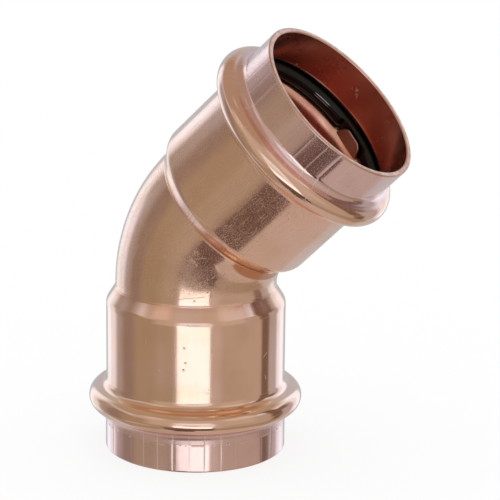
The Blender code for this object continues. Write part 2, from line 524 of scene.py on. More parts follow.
    def columns(self, ring: Ring) -> np.ndarray:
        """The angles round one ring, drawn together where the lip's tool lines run.

        Args:
            ring: the ring.

        Returns:
            The angles in radians, from 0 up.
        """
        middle_of_rim = self.sizes.lip_radius - self.sizes.wall / 2
        if ring.bore or ring.distance >= self.lip_end or ring.radius <= middle_of_rim + CLOSE:
            return np.arange(self.steps_round) * (FULL_TURN / self.steps_round)
        across = np.array(self.tool_line_columns) * self.tool_line_half
        offsets = np.concatenate([across, np.radians(self.open_columns)]) + self.tool_line_shift
        return np.concatenate([k * FULL_TURN / self.tool_lines + offsets for k in range(self.tool_lines)])

    def tool_marks(self, ring: Ring, angles: np.ndarray) -> np.ndarray:
        """How strongly the lip's forming tool marked each point of a ring.

        Args:
            ring: the ring.
            angles: its angles.

        Returns:
            One number from 0 to 1 for each angle.
        """
        pitch = FULL_TURN / self.tool_lines
        turned = angles - self.tool_line_shift
        number = np.round(turned / pitch).astype(int)
        off_line = np.abs(turned - number * pitch) / self.tool_line_half
        profile = np.cos(np.clip(off_line, 0, 1) * math.pi / 2) ** 2
        strengths = np.array(self.upper_line_strengths if ring.upper else self.lower_line_strengths)
        return profile * strengths[(number - self.first_line) % len(strengths)]

    def relief(self, ring: Ring, angles: np.ndarray) -> np.ndarray:
        """How far the making of the tube moved each point of a ring outwards.

        Args:
            ring: the ring.
            angles: its angles.

        Returns:
            Millimetres for each angle.
        """
        s = self.sizes
        skin = 1 - ring.bore
        on_lip = ramp(ring.distance, *self.tool_line_start) * ramp(ring.distance, *self.tool_line_end)
        moved = -self.tool_line_depth * self.tool_marks(ring, angles) * on_lip * skin
        into_flat = (angles - FULL_TURN * (angles > math.pi) - self.flat_from) / self.flat_width
        on_flat = np.where((into_flat > 0) & (into_flat < 1), 1 - into_flat, 0)
        moved = moved - self.flat_depth * on_flat * on_lip * skin * ring.upper
        off_foot = abs(ring.distance - s.foot) / self.crease_half
        moved = moved + self.crease_height * max(1 - off_foot, 0) * skin
        along = self.ripple_offset - ring.distance if ring.upper else ring.distance
        along += ring.turn * s.bend_radius
        waves = sum(
            strength * np.sin(times * angles + rise * along + start)
            for strength, times, rise, start in self.ripples
        )
        return moved + self.ripple * waves * (1 - ring.bore * self.bore_ripple)

    def painted_glow(self, ring: Ring, angles: np.ndarray) -> np.ndarray:
        """How much painted golden reflection each point gets: beside the bead, and in the throat.

        Args:
            ring: the ring.
            angles: its angles.

        Returns:
            One number from 0 to 1 for each angle.
        """
        near_bead = max(0, self.bead_glow_half - abs(ring.distance - self.bead_glow_place))
        beside_bead = self.rolled * near_bead * ramp(apart(angles, self.bead_glow_front), *self.bead_glow_fade)
        on_cone = ramp(ring.distance, *self.throat_start) * ramp(ring.distance, *self.throat_end)
        throat = ramp(apart(angles, 0), *self.throat_fade) * on_cone * ring.upper
        return np.clip(np.maximum(beside_bead, throat) * (1 - ring.bore), 0, 1)

    def painted_shade(self, ring: Ring, angles: np.ndarray) -> np.ndarray:
        """How much painted brown shade each point gets: at a shoulder's foot, and in the upper throat.

        Args:
            ring: the ring.
            angles: its angles.

        Returns:
            One number from 0 to 1 for each angle.
        """
        past = ring.distance - self.sizes.foot
        round_throat = np.clip(1 - (apart(angles, 0) / self.throat_shade_half) ** 2, 0, 1)
        inside = ramp(self.throat_shade_length * np.sqrt(round_throat) - past, 0, self.throat_shade_soft)
        inside = inside * ramp(past, 0, self.throat_shade_start) * ring.upper
        # A line of painted shade in the inner corner just before the shoulder's foot
        crease_shade = max(0, 1 - abs(past + self.crease_shade_place) / self.crease_shade_half)
        crease_shade *= self.upper_crease_shade if ring.upper else self.lower_crease_shade
        return np.maximum(inside, crease_shade) * (1 - ring.bore)

    def join(
        self, first: int, first_angles: np.ndarray, second: int, second_angles: np.ndarray
    ) -> list[tuple[int, ...]]:
        """The faces between two rings.

        Args:
            first: the number of the first ring's first point.
            first_angles: the angles of its points.
            second: the number of the second ring's first point.
            second_angles: the angles of its points.

        Returns:
            Quads where the rings have the same columns, and triangles where they don't.
        """
        a, b = len(first_angles), len(second_angles)
        if a == b and np.allclose(first_angles, second_angles):
            return [(first + i, first + (i + 1) % a, second + (i + 1) % a, second + i) for i in range(a)]
        faces = []
        i = j = 0
        while i < a or j < b:
            ahead = first_angles[(i + 1) % a] + FULL_TURN * ((i + 1) // a)
            beside = second_angles[(j + 1) % b] + FULL_TURN * ((j + 1) // b)
            if j == b or (i < a and ahead <= beside):
                faces.append((first + i % a, first + (i + 1) % a, second + j % b))
                i += 1
            else:
                faces.append((first + i % a, second + (j + 1) % b, second + j % b))
                j += 1
        return faces

    def zone(self, ring: Ring, after: Ring) -> Zone:
        """The finish of the faces between two rings.

        Args:
            ring: the first ring.
            after: the next one.

        Returns:
            The cut rim, the bore, the lip or the skin.
        """
        near = max(ring.distance, after.distance)
        if near < self.sizes.rim_edge * self.rim_share:
            return Zone.RIM
        if ring.bore or after.bore:
            return Zone.BORE
        return Zone.LIP if near < self.lip_end else Zone.SKIN

    def mesh(self) -> bpy.types.Mesh:
        """The wall as one closed mesh in the row frame, with the measures that its finishes read.

        Returns:
            The mesh, whose faces have their zone's material slot.
        """
        rings = self.rings()
        columns = [self.columns(ring) for ring in rings]
        points = []
        for ring, angles in zip(rings, columns):
            reach = ring.radius + self.relief(ring, angles)
            out = reach * np.cos(angles)
            x = self.axis_x + ring.centre_x + out * math.cos(ring.turn)
            z = ring.centre_z - out * math.sin(ring.turn)
            points.append(np.stack([x, reach * np.sin(angles), z], -1) * MM)
        starts = [int(start) for start in np.cumsum([0] + [len(angles) for angles in columns])]
        faces, finishes = [], []
        for i, ring in enumerate(rings):
            after = (i + 1) % len(rings)
            made = self.join(starts[i], columns[i], starts[after], columns[after])
            faces += made
            finishes += [self.zone(ring, rings[after]).value] * len(made)
        mesh = bpy.data.meshes.new("copper_elbow")
        mesh.from_pydata(np.concatenate(points).tolist(), [], faces)
        mesh.update()
        mesh.polygons.foreach_set("material_index", np.array(finishes, dtype=np.int32))
        self.add_measures(mesh, rings, columns)
        mesh.shade_smooth()
        return mesh

    def add_measures(self, mesh: bpy.types.Mesh, rings: list[Ring], columns: list[np.ndarray]) -> None:
        """Gives each point of the mesh the measures that its finishes read.

        They are its place on the straightened tube and its distance from the nearer mouth, both in
        millimetres, how far it is marked by the tool, and its shares of painted reflection and shade.

        Args:
            mesh: the copper's mesh.
            rings: its rings.
            columns: the angles of each ring.
        """
        s = self.sizes
        whole = 2 * s.arm_length + s.bend_radius * s.bend_angle
        straight = []
        measured: list[list[np.ndarray]] = []
        for ring, angles in zip(rings, columns):
            along = whole - ring.distance if ring.upper else ring.distance
            reach = s.socket_radius - ring.bore * s.wall
            level = np.zeros(len(angles))
            straight.append(np.stack([reach * np.cos(angles), reach * np.sin(angles), level + along], -1))
            marked = self.tool_marks(ring, angles)
            painted_glow, painted_shade = self.painted_glow(ring, angles), self.painted_shade(ring, angles)
            measured.append([level + ring.distance, marked, painted_glow, painted_shade])
        attribute = mesh.attributes.new("straight_tube", "FLOAT_VECTOR", "POINT")
        attribute.data.foreach_set("vector", np.concatenate(straight).reshape(-1).astype(np.float32))
        for name, values in zip(MEASURES, zip(*measured)):
            attribute = mesh.attributes.new(name, "FLOAT", "POINT")
            attribute.data.foreach_set("value", np.concatenate(values).astype(np.float32))

    def build(self) -> bpy.types.Object:
        """Adds the copper tube in place of its solid."""
        return add_piece(self.mesh(), "elbow_body")


@dataclass
class SealRing:
    """One rubber O-ring, lying in a bead's groove and lifted where the leak tab presses on it.

    It has two fine mould lines on the side that shows, each with a painted glint on a short arc.

    Lengths are millimetres. The mould lines' places and widths are degrees round the ring's section,
    and the glint arc's ends degrees round the ring. Each lift pair says where the lift is 0 and where
    it is 1: past the tab's side, and past its tip.
    """

    sizes: ElbowSizes
    axis_x: float
    arm: Arm
    steps_round: int = 288
    steps_across: int = 40
    mould_lines: tuple[float, float] = (186.0, 201.5)
    mould_line_height: float = 0.03
    mould_line_half: float = 3.4
    mould_line_clear: float = 0.8
    mould_line_columns: tuple[float, ...] = (-1.0, -0.5, 0.0, 0.5, 1.0)
    # The painted glints' arc and its soft ends, and the first line's fainter share
    glint_arc: tuple[float, float] = (101.5, 114.0)
    glint_soft: float = 0.03
    faint_share: float = 0.45
    lift_beside: tuple[float, float] = (0.9, 0.2)
    lift_before: tuple[float, float] = (-0.75, -0.3)
    lift_widest: float = 0.5

    def section(self) -> tuple[float, float]:
        """The ring's size, as large as the groove and its clearance let it be.

        Returns:
            The ring's radius and its section's radius.
        """
        s = self.sizes
        lean = math.sin(s.groove_flank)
        inner = s.bore_radius - s.seal_protrusion
        between = ((s.groove_peak - inner) * lean - s.seal_clearance) / (1 + lean)
        under = (s.crown_centre + s.groove_crown - s.seal_clearance - inner) / 2
        section = min(between, under)
        return inner + section, section

    def profile(self) -> tuple[np.ndarray, np.ndarray]:
        """The columns round the ring's section.

        Returns:
            Their angles in radians, and how far each stands out as a mould line.
        """
        even = np.arange(self.steps_across) * (360 / self.steps_across)
        lines = np.array(self.mould_lines)
        offsets = np.array(self.mould_line_columns) * self.mould_line_half
        on_lines = (lines[:, None] + offsets[None, :]).reshape(-1)
        near = np.abs(even[:, None] - lines[None, :]).min(1)
        clear = near > self.mould_line_half + self.mould_line_clear
        angles = np.sort(np.concatenate([even[clear], on_lines]))
        off_line = np.abs(angles[:, None] - lines[None, :]).min(1)
        raised = self.mould_line_height * np.clip(1 - off_line / self.mould_line_half, 0, 1)
        return np.radians(angles), raised

    def lifted(self, radius: np.ndarray, distance: np.ndarray, theta: np.ndarray) -> np.ndarray:
        """Pushes the ring outwards where the leak tab presses on it.

        Args:
            radius: the points' radii.
            distance: their distances from the mouth.
            theta: their angles round the ring.

        Returns:
            The new radii.
        """
        s = self.sizes
        beside = apart(theta, s.tab_place) * s.bore_radius
        over = ramp(beside - s.tab_base / 2, *self.lift_beside)
        over = over * ramp(distance - s.tab_end, *self.lift_before)
        face = s.tab_radius(distance) + s.tab_wall + s.seal_clearance
        outside = face / np.cos(np.clip(beside / s.bore_radius, 0, self.lift_widest))
        smooth = over * over * (3 - 2 * over)
        return radius + np.clip(outside - radius, 0, None) * smooth

    def mesh(self) -> bpy.types.Mesh:
        """The ring as a mesh in the row frame, with how strong its painted glints are.

        Returns:
            The mesh.
        """
        ring, section = self.section()
        angles, raised = self.profile()
        turns = np.arange(self.steps_round) * (FULL_TURN / self.steps_round)
        theta, across = np.meshgrid(turns, angles, indexing="ij")
        distance = self.sizes.bead_setback + (section + raised) * np.sin(across)
        radius = self.lifted(ring + (section + raised) * np.cos(across), distance, theta)
        x, y, z = self.sizes.on_arm(self.arm, distance, radius * np.cos(theta), radius * np.sin(theta))
        points = np.stack([self.axis_x + x, y, z], -1).reshape(-1, 3) * MM
        row = np.arange(self.steps_round)[:, None] * len(angles)
        column = np.arange(len(angles))[None, :]
        next_row = np.roll(row, -1, axis=0)
        next_column = np.roll(column, -1, axis=1)
        faces = np.stack([row + column, next_row + column, next_row + next_column, row + next_column], -1)
        if self.arm is Arm.UPPER:
            faces = faces[..., ::-1]
        mesh = bpy.data.meshes.new(f"rubber_ring_{self.arm.value}")
        mesh.from_pydata(points.tolist(), [], faces.reshape(-1, 4).tolist())
        # The painted glints: paler colour on the mould lines along a short arc, fainter on the first line
        start, end = np.radians(self.glint_arc)
        on_arc = np.clip(np.minimum(theta - start, end - theta) / self.glint_soft + 0.5, 0, 1)
        between_lines = math.radians(sum(self.mould_lines) / 2)
        fainter = np.where(across < between_lines, self.faint_share, 1.0)
        pale = on_arc * fainter * raised / self.mould_line_height
        attribute = mesh.attributes.new("painted_glint", "FLOAT", "POINT")
        attribute.data.foreach_set("value", pale.reshape(-1).astype(np.float32))
        mesh.shade_smooth()
        return mesh

    def build(self) -> bpy.types.Object:
        """Adds the ring in place of its solid."""
        return add_piece(self.mesh(), f"seal_ring_{self.arm.value}")


@dataclass
class LeakTab:
    """The small flat of the wall that is pressed in over the sealing ring."""

    sizes: ElbowSizes
    axis_x: float
    arm: Arm
    edge: float = 0.33
    edge_steps: int = 4
    digits: int = 4

    def outline(self) -> Line:
        """The tab's corners.

        Returns:
            The corners in order, as (across, distance from the mouth).
        """
        s = self.sizes
        tip = s.tab_end
        root = tip + s.tab_reach + s.tab_root
        lean = (s.tab_base - s.tab_tip) / 2 / (s.tab_reach + s.tab_root)
        side = s.tab_tip / 2 + lean * s.tab_chamfer
        half = [(s.tab_base / 2, root), (side, tip + s.tab_chamfer), (s.tab_tip / 2 - s.tab_chamfer, tip)]
        return half + [(-across, distance) for across, distance in reversed(half)]

    def mesh(self) -> bpy.types.Mesh:
        """The tab as a thin plate, whose rounded edges have the second material slot.

        Bevelling rounds its last digits and orders its faces a little differently each time, so the
        mesh is made anew from rounded lengths and sorted faces, and is the same in every run.

        Returns:
            The mesh, in the row frame.
        """
        s = self.sizes
        shape = bmesh.new()
        corners = [shape.verts.new((s.tab_radius(place), across, place)) for across, place in self.outline()]
        face = shape.faces.new(corners)
        grown = bmesh.ops.extrude_face_region(shape, geom=[face])
        moved = [part for part in grown["geom"] if isinstance(part, bmesh.types.BMVert)]
        bmesh.ops.translate(shape, vec=(s.tab_wall, 0, 0), verts=moved)
        bmesh.ops.recalc_face_normals(shape, faces=shape.faces)
        bevelled = bmesh.ops.bevel(
            shape,
            geom=list(shape.edges),
            offset=self.edge,
            segments=self.edge_steps,
            affect="EDGES",
            profile=0.5,
        )
        for rounded in bevelled["faces"]:
            rounded.material_index = 1
        cos, sin = math.cos(s.tab_place), math.sin(s.tab_place)
        for point in shape.verts:
            radial, across, distance = (round(length, self.digits) for length in point.co)
            out, wide = radial * cos - across * sin, radial * sin + across * cos
            x, y, z = s.on_arm(self.arm, distance, out, wide)
            point.co = Vector((self.axis_x + x, y, z)) * MM
        bmesh.ops.recalc_face_normals(shape, faces=shape.faces)
        shape.verts.index_update()
        sides = []
        for side in shape.faces:
            numbers = [point.index for point in side.verts]
            first = numbers.index(min(numbers))
            sides.append((numbers[first:] + numbers[:first], side.material_index))
        sides.sort()
        mesh = bpy.data.meshes.new(f"leak_tab_{self.arm.value}")
        mesh.from_pydata([point.co for point in shape.verts], [], [numbers for numbers, _ in sides])
        mesh.polygons.foreach_set("material_index", [slot for _, slot in sides])
        shape.free()
        mesh.shade_smooth()
        return mesh

    def build(self) -> bpy.types.Object:
        """Adds the tab, which grows from the wall beside the groove."""
        return add_piece(self.mesh())


def linear(code: str) -> tuple[float, float, float, float]:
    """Turns an sRGB colour to the linear one that a node takes.

    Args:
        code: the colour as a hex code such as '#C0FFEE'.

    Returns:
        Its red, green, blue and a full alpha.
    """
    parts = [int(code[i : i + 2], 16) / 255 for i in (1, 3, 5)]
    turned = [p / 12.92 if p <= 0.04045 else ((p + 0.055) / 1.055) ** 2.4 for p in parts]
    return (*turned, 1.0)


def add_node(
    tree: bpy.types.NodeTree,
    kind: str,
    settings: dict[str, object] | None = None,
    links: dict[str | int, object] | None = None,
) -> bpy.types.Node:
    """Adds a node with its settings, socket values and links.

    Args:
        tree: the node tree.
        kind: the node's type, without the ShaderNode in front.
        settings: the node's own properties.
        links: for each input, by name or number, an output socket to link or a plain value.

    Returns:
        The node.
    """
    node = tree.nodes.new("ShaderNode" + kind)
    for key, value in (settings or {}).items():
        setattr(node, key, value)
    for key, value in (links or {}).items():
        if isinstance(value, Socket):
            tree.links.new(value, node.inputs[key])
        else:
            node.inputs[key].default_value = value
    return node


@dataclass(frozen=True)
class Layer:
    """A pattern turned to its share of a sum: nothing up to the start, the top from the end on."""

    pattern: Value
    start: float = 0.0
    end: float = 1.0
    top: Value = 1.0


def layered(tree: bpy.types.NodeTree, *parts: Layer | Value) -> Value:
    """Adds up layers, sockets and plain numbers.

    Args:
        tree: the node tree.
        parts: what is added, in order.

    Returns:
        The sum's output socket, or the one part itself if it is a number or a socket.
    """
    total: Value | None = None
    for part in parts:
        if isinstance(part, Layer):
            turned = {0: part.pattern, 1: part.start, 2: part.end, 3: 0.0, 4: part.top}
            part = add_node(tree, "MapRange", {}, turned).outputs[0]
        if total is None:
            total = part
            continue
        total = add_node(tree, "Math", {"operation": "ADD"}, {0: total, 1: part}).outputs[0]
    return total


def blank_material(name: str) -> tuple[bpy.types.Material, bpy.types.NodeTree]:
    """A new material, and its node tree with nothing in it.

    Args:
        name: the material's name.

    Returns:
        The material and the tree.
    """
    made = bpy.data.materials.new(name)
    made.use_nodes = True
    made.node_tree.nodes.clear()
    return made, made.node_tree


@dataclass(frozen=True)
class Scuff:
    """A small hurt of the copper: a round area of specks, or one dent.

    The angle is round the tube in degrees, and the distance in millimetres from the arm's mouth.
    """

    arm: Arm
    angle: float
    distance: float
    radius: float
    dent: bool = False
    bore: bool = False

    @property
    def heart(self) -> float:
        """The radius inside which the hurt is at its strongest."""
        return self.radius * (0.5 if self.dent else 0.3)

    def place(self) -> Vector:
        """Where the hurt lies.

        Returns:
            Its middle on the straightened tube, in millimetres.
        """
        s = ElbowSizes()
        whole = 2 * s.arm_length + s.bend_radius * s.bend_angle
        reach = s.bore_radius if self.bore else s.socket_radius
        angle = math.radians(self.angle)
        along = whole - self.distance if self.arm is Arm.UPPER else self.distance
        return Vector((reach * math.cos(angle), reach * math.sin(angle), along))


@dataclass(frozen=True)
class Streak:
    """One scratch between two places, each as degrees round the tube and millimetres from the mouth.

    It is about 0.2 mm wide, wider than a real scratch, because a thinner one wouldn't show. It fades
    out between two distances past its ends, in millimetres.
    """

    arm: Arm
    start: tuple[float, float]
    end: tuple[float, float]
    half_width: float = 0.15
    end_fade: tuple[float, float] = (0.1, -0.4)

    @property
    def heart(self) -> float:
        """Half the width in which the scratch is at its strongest."""
        return self.half_width * 0.3

    def line(self) -> tuple[Vector, Vector, float]:
        """The scratch as a straight line on the straightened tube.

        Returns:
            Its middle, the direction across it and half its length.
        """
        start = Scuff(self.arm, *self.start, 1.0).place()
        end = Scuff(self.arm, *self.end, 1.0).place()
        middle = (start + end) / 2
        across = (end - start).cross(Vector((middle.x, middle.y, 0))).normalized()
        return middle, across, (end - start).length / 2


@dataclass(frozen=True)
class TubePlace:
    """Where on the tube a finish is read: the output sockets of the mesh's measures."""

    tube: Socket
    along: Socket
    from_mouth: Socket
    tool_mark: Socket
    painted_glow: Socket
    painted_shade: Socket

    @classmethod
    def read(cls, tree: bpy.types.NodeTree) -> TubePlace:
        """Adds the nodes that read the place.

        Args:
            tree: the material's nodes.

        Returns:
            The place on the straightened tube, how far along it that is, and the other measures.
        """
        tube = add_node(tree, "Attribute", {"attribute_name": "straight_tube"}).outputs["Vector"]
        along = add_node(tree, "SeparateXYZ", {}, {0: tube}).outputs[2]
        nodes = [add_node(tree, "Attribute", {"attribute_name": name}) for name in MEASURES]
        return cls(tube, along, *(node.outputs["Fac"] for node in nodes))


@dataclass(frozen=True)
class CopperFinish:
    """Phosphorus-deoxidised copper tube, drawn, bent, rolled and tumbled bright.

    The drawing leaves faint lines along the tube, the tumbling fine grains and scratches, and the
    air a thin uneven bloom. To the eye it is a pink mirror whose dark reflections look dusty.
    Colour and roughness start from typical copper, and the roughness of each zone sets its look.

    Fields that end in mm are millimetres, and a pattern's three are along the straightened tube's
    axes. The grains, lines, pits and scratches are coarser than real ones, which wouldn't show. The
    other numbers are shares, or what is added to the roughness.
    """

    name: str = "drawn_copper_tumbled_bright"
    colour: str = "#FAD1C2"
    bloom_colour: str = "#E6BEA6"
    bloom: float = 0.5
    cloud_mm: tuple[float, float, float] = (9, 9, 12)
    pink_colour: str = "#F9D4CF"
    pink: float = 0.6
    pink_mm: tuple[float, float, float] = (11, 11, 15)
    # The painted golden reflection's colour and share
    painted_glow_colour: str = "#FFECCD"
    painted_glow_share: float = 0.9
    # The painted shade's brown
    painted_shade_colour: str = "#CF8E69"
    roughness: float = 0.07
    cloud_roughness: float = 0.03
    small_cloud_mm: tuple[float, float, float] = (2.4, 2.4, 3.4)
    wave_mm: tuple[float, float, float] = (4.5, 4.5, 7.0)
    waviness_mm: float = 0.004

    grain: float = 0.36
    least_grain: float = 0.12
    grain_mm: float = 0.2
    grain_depth_mm: float = 0.005
    grain_bar: float = 0.65
    grain_patches: float = 0.14
    grain_patch_mm: float = 16.0
    grain_from_mm: float = 16.5
    grain_to_mm: float = 100.0
    dusty_from_mm: float = 38.0
    scratch: float = 0.2
    scratch_mm: float = 0.28
    scratch_depth_mm: float = 0.003
    scratched_from_mm: float = 36.0
    least_scratched: float = 0.25
    worn_to_mm: float = 46.0
    scratch_runs: tuple[tuple[float, float, float], ...] = (
        (0.35, 11.0, 9.0),
        (1.25, 47.0, 7.0),
        (2.3, 83.0, 6.0),
    )
    draw_lines: float = 0.025
    draw_line_mm: tuple[float, float, float] = (1.1, 1.1, 60.0)
    draw_line_depth_mm: float = 0.0024
    brushing: float = 0.0
    brushing_mm: tuple[float, float, float] = (0.36, 0.36, 8.0)
    brushing_depth_mm: float = 0.006
    turned: float = 0.0
    turning_mm: float = 1.2

    tool_lines: bool = False
    tool_line_roughness: float = 0.25
    # The tool lines' painted highlight: a paler colour and its share
    tool_line_highlight_colour: str = "#FFEDE4"
    tool_line_highlight: float = 0.7
    rolled_from_mm: float = 6.9
    rolled: float = 0.17
    rolled_fade_mm: tuple[float, float] = (90.0, 40.0)
    tick_mm: tuple[float, float, float] = (1.6, 1.6, 3.0)
    tick_edge_mm: tuple[float, float] = (0.24, 0.08)
    tick_fade_mm: tuple[float, float] = (60.0, 40.0)
    tick_depth_mm: float = 0.05
    tick_roughness: float = 0.3
    pits: bool = True
    pit_spacing_mm: float = 9.0
    pit_mm: float = 0.42
    pit_uneven_mm: float = 0.5
    pit_depth_mm: float = 0.03
    pit_roughness: float = 0.35
    speck_mm: tuple[float, float, float] = (0.24, 0.24, 0.9)
    speck_depth_mm: float = 0.01
    speck_roughness: float = 0.4
    speck_bar: float = 0.9
    speck_room: float = 0.4
    dent_depth_mm: float = 0.05
    dent_roughness: float = 0.2
    scuffs: tuple[Scuff, ...] = ()
    streaks: tuple[Streak, ...] = ()

    def lumps(
        self,
        tree: bpy.types.NodeTree,
        place: Socket,
        size: tuple[float, float, float],
        detail: float = 0.0,
        turn: tuple[float, float, float] = (0, 0, 0),
    ) -> Socket:
        """Smooth noise in lumps of a given size.

        Args:
            tree: the material's nodes.
            place: the place that it is read at.
            size: the lumps' size along each axis, in the place's unit.
            detail: how many finer layers it has.
            turn: the axes' turn in radians.

        Returns:
            The output socket, from 0 to 1 and mostly near 0.5.
        """
        scale = tuple(1 / length for length in size)
        turned = add_node(tree, "Mapping", {}, {"Vector": place, "Scale": scale, "Rotation": turn})
        values = {"Vector": turned.outputs[0], "Scale": 1.0, "Detail": detail}
        return add_node(tree, "TexNoise", {}, values).outputs[0]

    def scratches(self, tree: bpy.types.NodeTree, at: TubePlace) -> Value:
        """Sparse fine scratches, each run with a turn, a seed and a length in millimetres.

        They are up to 0.25 mm wide, far wider than real ones, because thinner ones wouldn't show.
        They are fainter on the lower socket.

        Args:
            tree: the material's nodes.
            at: the place on the tube.

        Returns:
            The output socket, from 0 to 1.
        """
        runs = []
        for turn, seed, length in self.scratch_runs:
            moved = add_node(tree, "VectorMath", {"operation": "ADD"}, {0: at.tube, 1: (seed,) * 3})
            size = (self.scratch_mm, self.scratch_mm, length)
            line = self.lumps(tree, moved.outputs[0], size, turn=(turn, turn * 0.7, 0.2))
            runs.append(Layer(line, 0.75, 0.80))
        more = Layer(at.along, self.scratched_from_mm, self.worn_to_mm, 1 - self.least_scratched)
        return layered(tree, Layer(layered(tree, *runs), top=layered(tree, more, self.least_scratched)))

    def pitting(self, tree: bpy.types.NodeTree, at: TubePlace) -> Value:
        """Scattered small pits of uneven shape.

        Args:
            tree: the material's nodes.
            at: the place on the tube.

        Returns:
            The output socket, 1 in the pits.
        """
        size = (self.pit_uneven_mm,) * 3
        uneven = {0: self.lumps(tree, at.tube, size), 1: size, 2: at.tube}
        bent = add_node(tree, "VectorMath", {"operation": "MULTIPLY_ADD"}, uneven)
        scale = (1 / self.pit_spacing_mm,) * 3
        scaled = add_node(tree, "Mapping", {}, {"Vector": bent.outputs[0], "Scale": scale})
        cells = add_node(tree, "TexVoronoi", {}, {"Vector": scaled.outputs[0], "Scale": 1.0})
        reach = self.pit_mm / self.pit_spacing_mm
        return layered(tree, Layer(cells.outputs[0], reach, 0.6 * reach))

    def hurts(self, tree: bpy.types.NodeTree, at: TubePlace) -> tuple[Value, Value]:
        """The scuffs' specks with the streaks, and the dents.

        Args:
            tree: the material's nodes.
            at: the place on the tube.

        Returns:
            The output sockets of the specks and of the dents, each from 0 to 1.
        """
        areas: dict[bool, list[Layer]] = {False: [], True: []}
        for scuff in self.scuffs:
            ends = {0: at.tube, 1: scuff.place()}
            off = add_node(tree, "VectorMath", {"operation": "DISTANCE"}, ends).outputs[1]
            areas[scuff.dent].append(Layer(off, scuff.radius, scuff.heart))
        lines = []
        for streak in self.streaks:
            middle, across, half = streak.line()
            ends = {0: at.tube, 1: across}
            aside = add_node(tree, "VectorMath", {"operation": "DOT_PRODUCT"}, ends).outputs[1]
            past = add_node(tree, "Math", {"operation": "SUBTRACT"}, {0: aside, 1: across.dot(middle)})
            off = add_node(tree, "Math", {"operation": "ABSOLUTE"}, {0: past.outputs[0]}).outputs[0]
            line = layered(tree, Layer(off, streak.half_width, streak.heart))
            far = add_node(tree, "VectorMath", {"operation": "DISTANCE"}, {0: at.tube, 1: middle}).outputs[1]
            start, end = streak.end_fade
            lines.append(Layer(far, half + start, half + end, line))
        area = layered(tree, 0.0, *areas[False])
        worn = self.lumps(tree, at.tube, self.speck_mm, 1.0, (0.9, 0.4, 0.0))
        bar = layered(tree, Layer(area, top=-self.speck_room), self.speck_bar)
        over = add_node(tree, "Math", {"operation": "SUBTRACT"}, {0: worn, 1: bar}).outputs[0]
        return layered(tree, Layer(over, 0.0, 0.08), *lines), layered(tree, 0.0, *areas[True])

    def grains(self, tree: bpy.types.NodeTree, at: TubePlace) -> Value:
        """Fine grains that look like dust, in patches and more of them up the tube.

        Args:
            tree: the material's nodes.
            at: the place on the tube.

        Returns:
            The output socket, from 0 to the finish's grain.
        """
        patches = self.lumps(tree, at.tube, (self.grain_patch_mm,) * 3, 2.0)
        lower = layered(tree, Layer(patches, 0.3, 0.7, self.grain_patches))
        bar = add_node(tree, "Math", {"operation": "SUBTRACT"}, {0: self.grain_bar, 1: lower}).outputs[0]
        fine = self.lumps(tree, at.tube, (self.grain_mm,) * 3, 1.0)
        over = add_node(tree, "Math", {"operation": "SUBTRACT"}, {0: fine, 1: bar}).outputs[0]
        upwards = Layer(at.along, self.dusty_from_mm, self.worn_to_mm, self.grain)
        most = layered(tree, upwards, self.grain * self.least_grain)
        most = layered(tree, Layer(at.from_mouth, self.grain_from_mm, self.grain_from_mm + 1.5, most))
        most = layered(tree, Layer(at.from_mouth, self.grain_to_mm + 0.5, self.grain_to_mm, most))
        return layered(tree, Layer(over, 0.0, 0.07, most))

    def tooling(self, tree: bpy.types.NodeTree, at: TubePlace) -> tuple[list[Layer], list[Layer]]:
        """What forming left on a lip: the tool's lines, a satin band and a broken line of ticks.

        Args:
            tree: the material's nodes.
            at: the place on the tube.

        Returns:
            The layers of roughness and those of height.
        """
        satin = layered(tree, Layer(at.along, *self.rolled_fade_mm, self.rolled))
        past = add_node(tree, "Math", {"operation": "SUBTRACT"}, {0: at.from_mouth, 1: self.rolled_from_mm})
        off = add_node(tree, "Math", {"operation": "ABSOLUTE"}, {0: past.outputs[0]}).outputs[0]
        low = layered(tree, Layer(at.along, *self.tick_fade_mm))
        broken = Layer(self.lumps(tree, at.tube, self.tick_mm, 1.0), 0.48, 0.6, low)
        both = {0: layered(tree, Layer(off, *self.tick_edge_mm)), 1: layered(tree, broken)}
        ticks = add_node(tree, "Math", {"operation": "MULTIPLY"}, both).outputs[0]
        rough = [
            Layer(at.tool_mark, 0.1, 1.0, self.tool_line_roughness),
            Layer(at.from_mouth, self.rolled_from_mm, self.rolled_from_mm + 0.5, satin),
            Layer(ticks, top=self.tick_roughness),
        ]
        return rough, [Layer(ticks, top=-self.tick_depth_mm)]

    def shaded(self, tree: bpy.types.NodeTree, at: TubePlace, clouds: Socket) -> Value:
        """The copper's colour: its bloom and pinker patches, with painted golden reflection and shade.

        Args:
            tree: the material's nodes.
            at: the place on the tube.
            clouds: the noise of the bloom.

        Returns:
            The output socket.
        """
        blush = self.lumps(tree, at.tube, self.pink_mm, 2.0, (1, 2, 3))
        shares: list[tuple[Layer | Value, str]] = [
            (Layer(clouds, 0.4, 0.68, self.bloom), self.bloom_colour),
            (Layer(blush, 0.48, 0.62, self.pink), self.pink_colour),
            # Painted golden reflection, then painted shade in the crease and the upper throat
            (Layer(at.painted_glow, top=self.painted_glow_share), self.painted_glow_colour),
            (at.painted_shade, self.painted_shade_colour),
        ]
        # Painted highlights: a lip's tool lines made paler
        if self.tool_lines:
            shares.append((Layer(at.tool_mark, 0.1, 0.9, self.tool_line_highlight), self.tool_line_highlight_colour))
        colour: Value = linear(self.colour)
        for share, code in shares:
            mix = {0: layered(tree, share), 6: colour, 7: linear(code)}
            colour = add_node(tree, "Mix", {"data_type": "RGBA"}, mix).outputs[2]
        return colour

